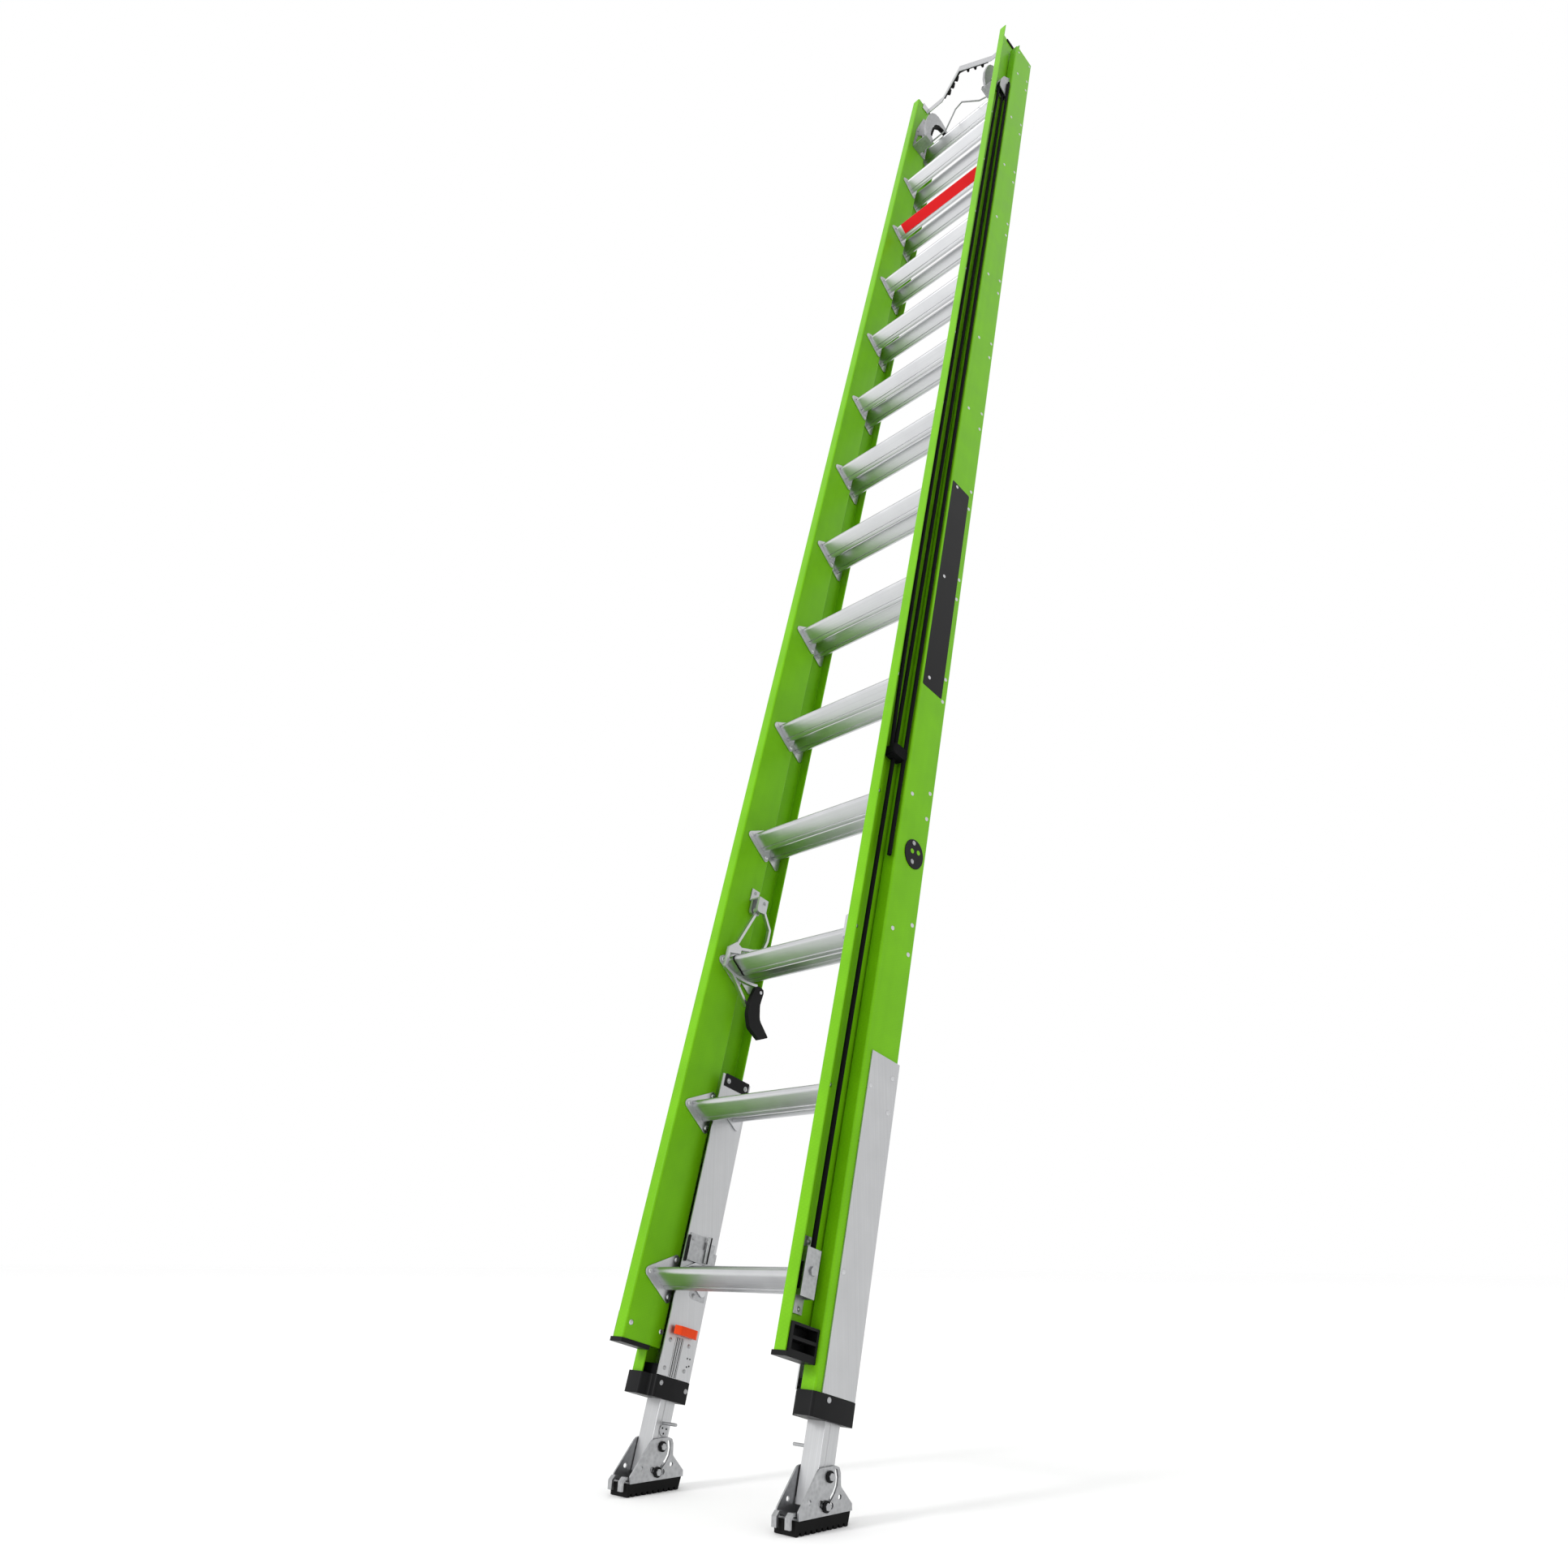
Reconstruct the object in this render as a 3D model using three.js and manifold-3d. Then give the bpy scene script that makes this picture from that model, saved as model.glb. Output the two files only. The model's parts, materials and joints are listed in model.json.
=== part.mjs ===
// A two-section fibreglass extension ladder with levelling legs, leaning as it does in use.
import * as THREE from "three";
import { mergeVertices } from "three/addons/utils/BufferGeometryUtils.js";
import Module from "manifold-3d";

const wasm = await Module();
wasm.setup();

// Millimetres. A rail's own directions are x across the ladder, n towards the wall and r up the rail.
// Both are measured from the front rivet of the bottom base rung, half way across the ladder.
const LEAN = THREE.MathUtils.degToRad(14.5);
const PITCH = 304.8;
const RUNGS = { base: 14, fly: 13 };
const GAP = 0.3;
const GROUND_DROP = 341.5;
const CENTRE_BACK = 487.85;

// Channel rails: web is the outer face of the web, tip the edge of the flanges.
const WALL = 3.2;
const BASE = { web: 219.8, tip: 191, front: -23.1, back: 65.9, low: -172, high: 4131 };
const FLY = { web: 183.4, tip: 209.3, front: -87.3, back: 1.7, low: -131.5, high: 4190 };

// Rungs: three rounded corners of the tube and of its end plates, as n, r and radius.
const TUBE_CORNERS = [[-5.9, 4.8, 7.1], [46, -24.9, 5], [50.5, 19.4, 5]];
const TUBE_WALL = 2.4;
const PLATE_CORNERS = [[-19.1, -0.8, 9], [58.9, -46.8, 7], [58.9, 45.2, 7]];
const SHORT_PLATE_CORNERS = [[-9, -0.8, 5], [58.9, -40, 7], [58.9, 40, 7]];
const PLATE = 3;
const FLY_SHIFT = [-61.9, -18.2];

// Levelling leg, the sleeve that guides it and the collar under the rail.
const SLEEVE = { inner: 165.5, outer: 222.6, front: -8, back: 68.7, wall: 2.5, low: -171.7, high: 366 };
const SLEEVED_RUNGS = 2;
const LEG = { inner: 174.6, outer: 211.7, front: 19.2, back: 52.4, wall: 3, low: -316, high: 200 };
const COLLAR = { low: -206, high: -172.3 };
const BUTTON = { front: 0, back: 60, low: -105, high: -91, inner: 150 };

// The foot stands level, so its places are y and z from the same rivet.
const FOOT_BOLT = [-30.3, -275];
const LOWER_BOLT = [-38.9, -311.5];
const FOOT_SWING = THREE.MathUtils.degToRad(18);
const BOLT_RADIUS = 4;
const BUSHING = { radius: 8, thick: 3 };
const SHOE = { inner: 169.6, outer: 216.4, plate: 3, sole: -323 };

// Rung locks hang on the fly rails over the third rung.
const LOCK_RUNG = 2;
const LOCK_PIVOT = [-14.7, 115.4];
const LOCK_REACH = 163;
const FINGER_PIVOT = [29.6, -58.8];
const LOCK = { inner: 161, outer: 169 };
const PIN_RADIUS = 3.5;

// Top fittings.
const HOOK_PIVOT = [-48, 3892];
const HOOK = { inner: 125.5, outer: 134.5 };
const POLE_BAR = { low: 4160, high: 4197, thick: 2.5, level: -32, bend: 112, vertex: -78 };
const SHEAVE = { n: -49, r: 3808, groove: 7.5, rim: 13.5, inner: 193.7, outer: 205.1 };
const ROPE_RADIUS = 4.4;
const ROPE_X = 199.4;
const TAIL_X = 213.4;

const MATERIALS = {
  fibreglass: new THREE.MeshStandardMaterial({ color: 0x6fb80f, roughness: 0.45, metalness: 0 }),
  aluminium: new THREE.MeshStandardMaterial({ color: 0xcfd1d4, roughness: 0.4, metalness: 1 }),
  steel: new THREE.MeshStandardMaterial({ color: 0xa9abae, roughness: 0.5, metalness: 1 }),
  plastic: new THREE.MeshStandardMaterial({ color: 0x17171a, roughness: 0.55, metalness: 0 }),
  rubber: new THREE.MeshStandardMaterial({ color: 0x1b1b1c, roughness: 0.85, metalness: 0 }),
  release: new THREE.MeshStandardMaterial({ color: 0xe8401c, roughness: 0.45, metalness: 0 }),
  rope: new THREE.MeshStandardMaterial({ color: 0x0e0e10, roughness: 0.9, metalness: 0 }),
};

// ---- geometry helpers ----

function solidOf(geometry) {
  const plain = geometry.clone();
  plain.deleteAttribute("normal");
  plain.deleteAttribute("uv");
  const merged = mergeVertices(plain);
  return new wasm.Manifold(new wasm.Mesh({
    numProp: 3,
    vertProperties: new Float32Array(merged.attributes.position.array),
    triVerts: new Uint32Array(merged.index.array),
  }));
}

function geometryOf(solid) {
  const mesh = solid.getMesh();
  const geometry = new THREE.BufferGeometry();
  geometry.setAttribute("position", new THREE.BufferAttribute(mesh.vertProperties, 3));
  geometry.setIndex(new THREE.BufferAttribute(mesh.triVerts, 1));
  geometry.computeVertexNormals();
  return geometry;
}

function join(...solids) {
  return solids.reduce((all, next) => all.add(next));
}

function cut(solid, ...tools) {
  return tools.reduce((left, tool) => left.subtract(tool), solid);
}

function vectors(points) {
  return points.map(([u, v]) => new THREE.Vector2(u, v));
}

function anticlockwise(points) {
  const outline = vectors(points);
  return THREE.ShapeUtils.isClockWise(outline) ? outline.reverse() : outline;
}

function extruded(points, depth, hole) {
  const shape = new THREE.Shape(anticlockwise(points));
  if (hole) shape.holes.push(new THREE.Path(anticlockwise(hole)));
  return new THREE.ExtrudeGeometry(shape, { depth, bevelEnabled: false });
}

// A prism up the rail from an outline of x and n.
function upRail(points, low, high, hole) {
  return solidOf(extruded(points, high - low, hole).translate(0, 0, low));
}

// A prism across the ladder from an outline of n and r, between two distances from the middle.
function across(points, side, inner, outer, hole) {
  const turn = new THREE.Matrix4().makeBasis(
    new THREE.Vector3(0, 1, 0),
    new THREE.Vector3(0, 0, 1),
    new THREE.Vector3(1, 0, 0),
  );
  const start = side > 0 ? inner : -outer;
  return solidOf(extruded(points, outer - inner, hole).applyMatrix4(turn).translate(start, 0, 0));
}

// A prism towards the wall from an outline of x and r.
function facing(points, front, back) {
  return solidOf(extruded(points, back - front).rotateX(Math.PI / 2).translate(0, back, 0));
}

function box(side, inner, outer, front, back, low, high) {
  return across([[front, low], [back, low], [back, high], [front, high]], side, inner, outer);
}

function circle([u, v], radius, sides = 16) {
  return Array.from({ length: sides }, (_, i) => {
    const angle = (2 * Math.PI * i) / sides;
    return [u + radius * Math.cos(angle), v + radius * Math.sin(angle)];
  });
}

function arc([u, v], radius, from, to, steps) {
  return Array.from({ length: steps + 1 }, (_, i) => {
    const angle = from + ((to - from) * i) / steps;
    return [u + radius * Math.cos(angle), v + radius * Math.sin(angle)];
  });
}

function cornerAt(points, i) {
  const at = new THREE.Vector2(points[i][0], points[i][1]);
  const [before, after] = [i - 1, i + 1].map((k) => {
    const p = points[(k + points.length) % points.length];
    return new THREE.Vector2(p[0], p[1]).sub(at).normalize();
  });
  const inward = before.clone().add(after).normalize();
  const half = Math.acos(THREE.MathUtils.clamp(before.dot(after), -1, 1)) / 2;
  return { at, before, after, inward, half };
}

// An outline whose corners carry a radius as their third value.
function rounded(corners, steps = 2) {
  return corners.flatMap(([u, v, radius], i) => {
    if (!radius) return [[u, v]];
    const { at, before, after, inward, half } = cornerAt(corners, i);
    const reach = radius / Math.tan(half);
    const centre = at.clone().addScaledVector(inward, radius / Math.sin(half));
    const start = at.clone().addScaledVector(before, reach).sub(centre).angle();
    const end = at.clone().addScaledVector(after, reach).sub(centre).angle();
    const sweep = THREE.MathUtils.euclideanModulo(end - start + Math.PI, 2 * Math.PI) - Math.PI;
    return arc([centre.x, centre.y], radius, start, start + sweep, steps);
  });
}

function inset(corners, distance) {
  return corners.map(([, , radius], i) => {
    const { at, inward, half } = cornerAt(corners, i);
    at.addScaledVector(inward, distance / Math.sin(half));
    return [at.x, at.y, Math.max(radius - distance, 0.5)];
  });
}

function moved(points, [du, dv]) {
  return points.map(([u, v, ...rest]) => [u + du, v + dv, ...rest]);
}

function mirrored(points, side) {
  return points.map(([x, n]) => [side * x, n]);
}

// The outline of a bent strip that follows a path at one width.
function strip(path, width) {
  const edges = [1, -1].map((sign) => path.map(([u, v], i) => {
    const at = new THREE.Vector2(u, v);
    const from = i > 0 ? at.clone().sub(new THREE.Vector2(...path[i - 1])).normalize() : null;
    const to = i < path.length - 1 ? new THREE.Vector2(...path[i + 1]).sub(at).normalize() : null;
    const along = (from ?? to).clone().add(to ?? from).normalize();
    const mitre = (width / 2) / Math.max(along.dot(from ?? to), 0.3);
    return [u - sign * along.y * mitre, v + sign * along.x * mitre];
  }));
  return [...edges[0], ...edges[1].reverse()];
}

// ---- groups: everything but the feet leans, and the feet stay level ----

const ladder = new THREE.Group();
const leaning = new THREE.Group();
const level = new THREE.Group();
leaning.rotation.x = -LEAN;
for (const group of [leaning, level]) {
  group.position.set(0, -CENTRE_BACK, GROUND_DROP);
  ladder.add(group);
}

function place(name, solid, material, group = leaning) {
  const mesh = new THREE.Mesh(geometryOf(solid), MATERIALS[material]);
  mesh.name = name;
  group.add(mesh);
}

// ---- rails and rungs ----

function railSolid(rail, side) {
  const inwards = Math.sign(rail.tip - rail.web);
  const web = rail.web + inwards * WALL;
  const outline = rounded([
    [rail.web, rail.front, 4.5],
    [rail.tip, rail.front],
    [rail.tip, rail.front + WALL],
    [web, rail.front + WALL],
    [web, rail.back - WALL],
    [rail.tip, rail.back - WALL],
    [rail.tip, rail.back],
    [rail.web, rail.back, 4.5],
  ]);
  return upRail(mirrored(outline, side), rail.low, rail.high);
}

function rungSolid(halfSpan, plateCorners, shift) {
  const outside = moved(rounded(TUBE_CORNERS), shift);
  const inside = moved(rounded(inset(TUBE_CORNERS, TUBE_WALL)), shift);
  const plate = moved(rounded(plateCorners), shift);
  return join(
    across(outside, 1, -halfSpan, halfSpan, inside),
    across(plate, 1, halfSpan - PLATE, halfSpan, inside),
    across(plate, -1, halfSpan - PLATE, halfSpan, inside),
  );
}

// ---- levelling legs and feet ----

function rectangle({ inner, outer, front, back }) {
  return [[inner, front], [outer, front], [outer, back], [inner, back]];
}

function sleeveSolid(side) {
  const { inner, outer, front, back, wall, low, high } = SLEEVE;
  const outline = rounded([
    [outer, front], [outer, back, 3], [inner, back, 3], [inner, front],
    [inner + wall, front], [inner + wall, back - wall], [outer - wall, back - wall], [outer - wall, front],
  ]);
  const window = box(side, inner - 1, inner + wall + 1, 8, 52, BUTTON.low + 2, BUTTON.high - 2);
  return cut(upRail(mirrored(outline, side), low, high), window);
}

function collarSolid(side) {
  const outline = rounded([
    [223.5, -27, 5], [223.5, 70, 5], [165, 70, 5], [165, -8, 5], [181, -8, 5], [186, -27, 5],
  ]);
  const slack = 0.7;
  const hole = rectangle({
    inner: LEG.inner - slack, outer: LEG.outer + slack, front: LEG.front - slack, back: LEG.back + slack,
  });
  const screwHead = across(circle([8, -179], 4), side, 222, 225.3);
  return join(upRail(mirrored(outline, side), COLLAR.low, COLLAR.high, mirrored(hole, side)), screwHead);
}

// Places on the foot are level, so a bolt that belongs to the leg is turned back into the leaning frame.
function leant([y, z]) {
  const c = Math.cos(LEAN);
  const s = Math.sin(LEAN);
  return [y * c - z * s, y * s + z * c];
}

function legSolid(side) {
  const { inner, outer, front, back, wall, low, high } = LEG;
  const hollow = rectangle({
    inner: inner + wall, outer: outer - wall, front: front + wall, back: back - wall,
  });
  const tube = upRail(mirrored(rectangle(LEG), side), low, high, mirrored(hollow, side));
  const head = 3;
  const [near, far] = [SHOE.inner - GAP, SHOE.outer + GAP];
  const { radius, thick } = BUSHING;
  const bolts = [FOOT_BOLT, LOWER_BOLT].map(leant).flatMap((at) => [
    across(circle(at, BOLT_RADIUS), side, near - thick, far + thick),
    across(circle(at, radius, 20), side, near - thick, near),
    across(circle(at, radius, 20), side, far, far + thick),
    across(circle(at, 5.5, 6), side, near - thick - head, near - thick),
    across(circle(at, 5.5, 6), side, far + thick, far + thick + head),
  ]);
  const pin = across(circle([34.5, -240], 2.5, 10), side, 139, inner + wall / 2);
  const disc = across(circle([39, -250], 9.5, 20), side, inner - 1.7, inner + wall / 2);
  return join(tube, ...bolts, pin, disc);
}

function slotCut(path, radius, side) {
  const ends = path.map((at) => across(circle(at, radius, 12), side, SHOE.inner - 1, SHOE.outer + 1));
  const run = across(strip(path, 2 * radius), side, SHOE.inner - 1, SHOE.outer + 1);
  return join(run, ends[0], ends[ends.length - 1]);
}

function shoeSolid(side) {
  const { inner, outer, plate, sole } = SHOE;
  const cheek = rounded([
    [-95, sole], [18, sole], [18, -314, 2], [-5.5, -290, 4], [-5.5, -262.5, 10], [-52, -262.5, 12],
    [-95, -312, 4],
  ]);
  const swing = Math.hypot(LOWER_BOLT[0] - FOOT_BOLT[0], LOWER_BOLT[1] - FOOT_BOLT[1]);
  const rest = Math.atan2(LOWER_BOLT[1] - FOOT_BOLT[1], LOWER_BOLT[0] - FOOT_BOLT[0]);
  const slack = 0.6;
  const slot = arc(FOOT_BOLT, swing, rest - FOOT_SWING, rest + FOOT_SWING, 8);
  const drop = [LOWER_BOLT, [-31.5, -306], [-21.2, -296], [-16, -288], [-13.8, -278], [-15.5, -269]];
  const curl = strip([[-88, sole + 1.5], [-94, -316], [-101, -315], [-106, -320], [-106.5, -333]], 4);
  return cut(
    join(
      across(cheek, side, inner, inner + plate),
      across(cheek, side, outer - plate, outer),
      box(side, inner, outer, -95, 18, sole, sole + 2.3),
      across(curl, side, inner + 5, inner + 15),
      across(curl, side, outer - 15, outer - 5),
    ),
    across(circle(FOOT_BOLT, BOLT_RADIUS + slack), side, inner - 1, outer + 1),
    slotCut(slot, BOLT_RADIUS + slack, side),
    slotCut(drop, 2.7, side),
    across(circle([-72.5, -303], 3.6, 12), side, inner - 1, outer + 1),
    across(circle([-8.5, -303], 3.6, 12), side, inner - 1, outer + 1),
  );
}

function padSolid(side) {
  const [front, back, top, ribs] = [-99, 15.5, SHOE.sole - GAP, 10];
  const step = (back - front) / ribs;
  const floor = -GROUND_DROP;
  const tread = Array.from({ length: ribs }, (_, i) => {
    const start = front + i * step;
    const outline = [[0, 0], [0.45, 0], [0.6, 4.5], [0.85, 4.5]];
    return outline.map(([along, up]) => [start + along * step, floor + up]);
  }).flat().slice(0, -2);
  return across([...tread, [back, top], [front, top]], side, SHOE.inner + 1.5, SHOE.outer - 1.5);
}

function buttonSolid(side) {
  const { front, back, low, high, inner } = BUTTON;
  const paddle = rounded([
    [inner, front + 12, 8], [inner, back - 12, 8], [inner + 11, back, 2], [inner + 11, front, 2],
  ]);
  const stem = box(side, inner + 10, inner + 20.2, 12, 48, low + 4, high - 4);
  return join(upRail(mirrored(paddle, side), low, high), stem);
}

// ---- fly foot caps ----

function capSolid(side) {
  const face = FLY.web + WALL + GAP;
  const sole = box(side, FLY.web - 1, 214, FLY.front - 1, -24, FLY.low - 7.5, FLY.low - GAP);
  const walls = cut(
    box(side, face, 214, FLY.front + WALL + GAP, -24, FLY.low - 4, -90),
    box(side, face + 3, 215, FLY.front + WALL + 4, -28, -109, -94),
    box(side, face + 3, 215, FLY.front + WALL + 4, -28, -128, -114),
  );
  return join(sole, walls);
}

// ---- rung locks, in n and r from the front rivet of their own rung ----

function lockSolid(side) {
  const plate = (points) => across(points, side, LOCK.inner, LOCK.outer);
  const under = arc(LOCK_PIVOT, LOCK_REACH, -1.9, -1.33, 9);
  const arms = [
    [LOCK_PIVOT, [-50, 18]],
    [[-66, 4], [-66, -26], under[0]],
    [[-50, 16], [-38, 13], [-3.6, 24], [23, 38], [29, 62], [28.7, 88], [4.5, 119], LOCK_PIVOT],
    [...under, FINGER_PIVOT],
    [[-45, -44.8], [9, -92], FINGER_PIVOT],
  ].map((path) => plate(strip(path, 5.5)));
  const knuckle = plate([[-68.7, -6], [-68.7, 6], [-53, 22], [-36, 16], [-36, 2], [-61, -6]]);
  const hanger = across(circle(FINGER_PIVOT, PIN_RADIUS), side, 149, LOCK.inner + 1);
  const bore = across(circle(LOCK_PIVOT, PIN_RADIUS + 0.4), side, LOCK.inner - 1, LOCK.outer + 1);
  const eyes = [plate(circle(LOCK_PIVOT, 8, 20)), plate(circle(FINGER_PIVOT, 6))];
  return cut(join(...eyes, ...arms, knuckle, hanger), bore);
}

function fingerSolid(side) {
  const outline = rounded([
    [16, -48, 8], [39, -48, 8], [35, -84, 25], [42, -114, 20], [74, -140, 2], [52, -153, 2], [20, -139, 14],
    [7, -112, 20], [7, -84, 14],
  ]);
  const bore = circle(FINGER_PIVOT, PIN_RADIUS + 0.4);
  return across(outline, side, 150, LOCK.inner - 0.4, bore);
}

function lockBracketSolid(side) {
  const [pn, pr] = LOCK_PIVOT;
  const cheek = rounded([[pn - 12, pr - 9, 6], [pn + 14, pr - 6, 6], [pn + 14, 141.5], [pn - 12, 141.5]]);
  const back = FLY.web - GAP;
  return join(
    box(side, 151, back, pn - 12, pn + 14, 138.5, 141.5),
    box(side, back - 3, back, -28, -6, 138.5, 168),
    across(cheek, side, 151, 157),
    across(cheek, side, 172, 178),
    across(circle(LOCK_PIVOT, PIN_RADIUS), side, 151, 178),
  );
}

// ---- top fittings ----

function poleBarSolid() {
  const { low, high, thick, level: n, bend, vertex } = POLE_BAR;
  const end = FLY.web - GAP - thick / 2;
  const path = [[-end, n - 30], [-end, n], [-bend, n], [0, vertex], [bend, n], [end, n], [end, n - 30]];
  return upRail(strip(path, thick), low, high);
}

// A toothed rubber strip on the hollow side of the pole bar.
function polePadSolid() {
  const { low, high, thick, level: n, bend, vertex } = POLE_BAR;
  const slope = new THREE.Vector2(bend, n - vertex).normalize();
  const away = new THREE.Vector2(-slope.y, slope.x);
  const near = thick / 2 + GAP;
  const at = (along, off) => {
    const start = new THREE.Vector2(0, vertex).addScaledVector(slope, along).addScaledVector(away, off);
    return [start.x, start.y];
  };
  const middle = near * Math.tan(Math.atan2(slope.y, slope.x));
  const teeth = [26, 53, 80].flatMap((start) => [
    at(start, near + 4), at(start + 3, near + 13), at(start + 9, near + 13), at(start + 12, near + 4),
  ]);
  const right = [at(middle, near), at(108, near), at(108, near + 4), ...teeth.reverse()];
  const left = right.map(([x, y]) => [-x, y]).reverse();
  return upRail([...right, [0, vertex + near + 8], ...left.slice(0, -1)], low + 3, high - 3);
}

function hookSolid(side) {
  const { inner, outer } = HOOK;
  const back = [[-57, 3886], [-72, 3930], [-74, 3975], [-66, 4030], [-56, 4055], [-41, 4073], [-22, 4080]];
  const top = [[0, 4077], [22, 4069], [38, 4058], [42, 4048]];
  const mouth = [[30, 4043], [10, 4042], [-12, 4034], [-28, 4014], [-38, 3985], [-42, 3940], [-38, 3886]];
  return cut(
    join(
      across([...back, ...top, ...mouth], side, inner, outer),
      across(circle(HOOK_PIVOT, 11, 20), side, inner, outer),
    ),
    across(circle(HOOK_PIVOT, PIN_RADIUS + 0.4), side, inner - 1, outer + 1),
  );
}

// A plate on the fly's web with two ears that carry a hook.
function hookBracket(side) {
  const web = FLY.web - GAP;
  const plate = rounded([
    [-67, 3872, 4], [1, 3872, 4], [1, 4000, 8], [-30, 4102, 6], [-46, 4102, 6], [-67, 3990, 8],
  ]);
  const window = [[-59, 3918], [-8, 3903], [-8, 3950], [-36, 3990], [-54, 3965]];
  const ear = rounded([[-66, 3874], [-27, 3874], [-27, 3896], [-38, 3908, 8], [-58, 3908, 8], [-66, 3890]]);
  return join(
    across(plate, side, web - 3, web, window),
    box(side, HOOK.inner - 4, web, -66, -27, 3872, 3875.5),
    across(ear, side, HOOK.inner - 4, HOOK.inner - 0.6),
    across(ear, side, HOOK.outer + 0.6, HOOK.outer + 4),
    across(circle(HOOK_PIVOT, PIN_RADIUS), side, HOOK.inner - 4, HOOK.outer + 4),
  );
}

// The brackets of both hooks and the bent rod that ties them together.
function hookFrameSolid() {
  const rod = [[-124, 3884], [-62, 3884], [-31, 3999], [-5, 4017], [85, 3905], [124, 3884]];
  return join(hookBracket(-1), hookBracket(1), facing(strip(rod, 4), -32, -28));
}

function sheaveSolid() {
  const { groove, rim, inner, outer } = SHEAVE;
  const half = (outer - inner) / 2;
  const profile = [
    [3.4, -half], [rim, -half], [rim, -half + 1.2], [groove, -1.5],
    [groove, 1.5], [rim, half - 1.2], [rim, half], [3.4, half], [3.4, -half],
  ];
  const wheel = new THREE.LatheGeometry(vectors(profile), 24);
  wheel.rotateZ(-Math.PI / 2);
  return solidOf(wheel.translate((inner + outer) / 2, SHEAVE.n, SHEAVE.r));
}

function pulleyBlockSolid() {
  const { n, r, inner, outer } = SHEAVE;
  const back = BASE.front - GAP;
  const cheek = rounded([
    [n - 17, r - 26, 10], [back - 1, r - 40], [back - 1, r + 90], [n - 4, r + 60, 8], [n - 17, r + 18, 8],
  ]);
  return join(
    box(1, inner - 3.4, outer + 3.4, back - 2.5, back, r - 48, r + 97),
    across(cheek, 1, inner - 3.4, inner - 0.9),
    across(cheek, 1, outer + 0.9, outer + 3.4),
    across(circle([n, r], 3), 1, inner - 3.4, outer + 3.4),
  );
}

function ropeAnchorSolid() {
  const face = FLY.web + WALL + GAP;
  const window = box(1, face + 3, 205, -75, -70, -42, -2);
  return cut(
    join(
      box(1, face, face + 2.5, -64, -44, -75, 39),
      box(1, 205.5, 208, -73, -41.5, -52, 20),
      box(1, face, 208, -73, -70.5, -52, 20),
      box(1, face, 208, -44, -41.5, -52, 20),
      across(circle([-54, -13], 7.5, 6), 1, 207.5, 211.5),
    ),
    window,
  );
}

// One rope: up from the fly's anchor, over the sheave, down to the clamp, with the loose end beside it.
function ropeSolid() {
  const pitch = SHEAVE.groove + ROPE_RADIUS + 0.4;
  const over = arc([SHEAVE.n, SHEAVE.r], pitch, 0, Math.PI, 8);
  const hoist = [[-53, -20], [-50, 900], [-42, 2400], ...over, [-64, 3300], [-69, 1500], [-60, 985]];
  const loose = [[-33, 754], [-31.5, 1500], [-30.5, 2400], [-30.5, 3850]];
  const section = new THREE.Shape(vectors(circle([0, 0], ROPE_RADIUS, 8)));
  const tube = (points, x, steps) => {
    const places = points.map(([n, r]) => new THREE.Vector3(x, n, r));
    const extrudePath = new THREE.CatmullRomCurve3(places, false, "centripetal");
    return solidOf(new THREE.ExtrudeGeometry(section, { extrudePath, steps, bevelEnabled: false }));
  };
  const clamp = box(1, ROPE_X - 6, TAIL_X + 4, -68, -29, 976, 1002);
  return join(tube(hoist, ROPE_X, 46), tube(loose, TAIL_X, 12), clamp);
}

// ---- assembly ----

function rungName(section, rung) {
  return `${section}_rung_${String(rung).padStart(2, "0")}`;
}

for (let rung = 1; rung <= RUNGS.base; rung += 1) {
  const sleeved = rung <= SLEEVED_RUNGS;
  const span = sleeved ? SLEEVE.inner - GAP : BASE.web - WALL - GAP;
  const corners = sleeved ? SHORT_PLATE_CORNERS : PLATE_CORNERS;
  place(rungName("base", rung), rungSolid(span, corners, [0, (rung - 1) * PITCH]), "aluminium");
}

for (let rung = 1; rung <= RUNGS.fly; rung += 1) {
  const [shiftN, shiftR] = FLY_SHIFT;
  const shift = [shiftN, shiftR + (rung - 1) * PITCH];
  place(rungName("fly", rung), rungSolid(FLY.web - GAP, PLATE_CORNERS, shift), "aluminium");
}

const lockGroup = new THREE.Group();
lockGroup.position.z = LOCK_RUNG * PITCH;
leaning.add(lockGroup);

for (const [label, side] of [["left", -1], ["right", 1]]) {
  place(`base_rail_${label}`, railSolid(BASE, side), "fibreglass");
  place(`fly_rail_${label}`, railSolid(FLY, side), "fibreglass");
  place(`leveler_sleeve_${label}`, sleeveSolid(side), "aluminium");
  place(`rail_collar_${label}`, collarSolid(side), "plastic");
  place(`leveler_leg_${label}`, legSolid(side), "aluminium");
  place(`foot_shoe_${label}`, shoeSolid(side), "steel", level);
  place(`foot_pad_${label}`, padSolid(side), "rubber", level);
  place(`release_button_${label}`, buttonSolid(side), "release");
  place(`fly_cap_${label}`, capSolid(side), "plastic");
  place(`lock_bracket_${label}`, lockBracketSolid(side), "aluminium", lockGroup);
  place(`rung_lock_${label}`, lockSolid(side), "aluminium", lockGroup);
  place(`lock_finger_${label}`, fingerSolid(side), "plastic", lockGroup);
  place(`cable_hook_${label}`, hookSolid(side), "steel");
}

place("hook_frame", hookFrameSolid(), "steel");
place("pole_bar", poleBarSolid(), "aluminium");
place("pole_pad", polePadSolid(), "rubber");
place("pulley_block", pulleyBlockSolid(), "steel");
place("pulley_sheave", sheaveSolid(), "plastic");
place("rope_anchor", ropeAnchorSolid(), "steel");
place("hoist_rope", ropeSolid(), "rope");

export default ladder;
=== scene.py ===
"""Looks for the extension ladder: materials, finely made rungs, rivets, rope and small fittings."""
import json
import math

import bmesh
import bpy
from mathutils import Matrix, Vector


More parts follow.
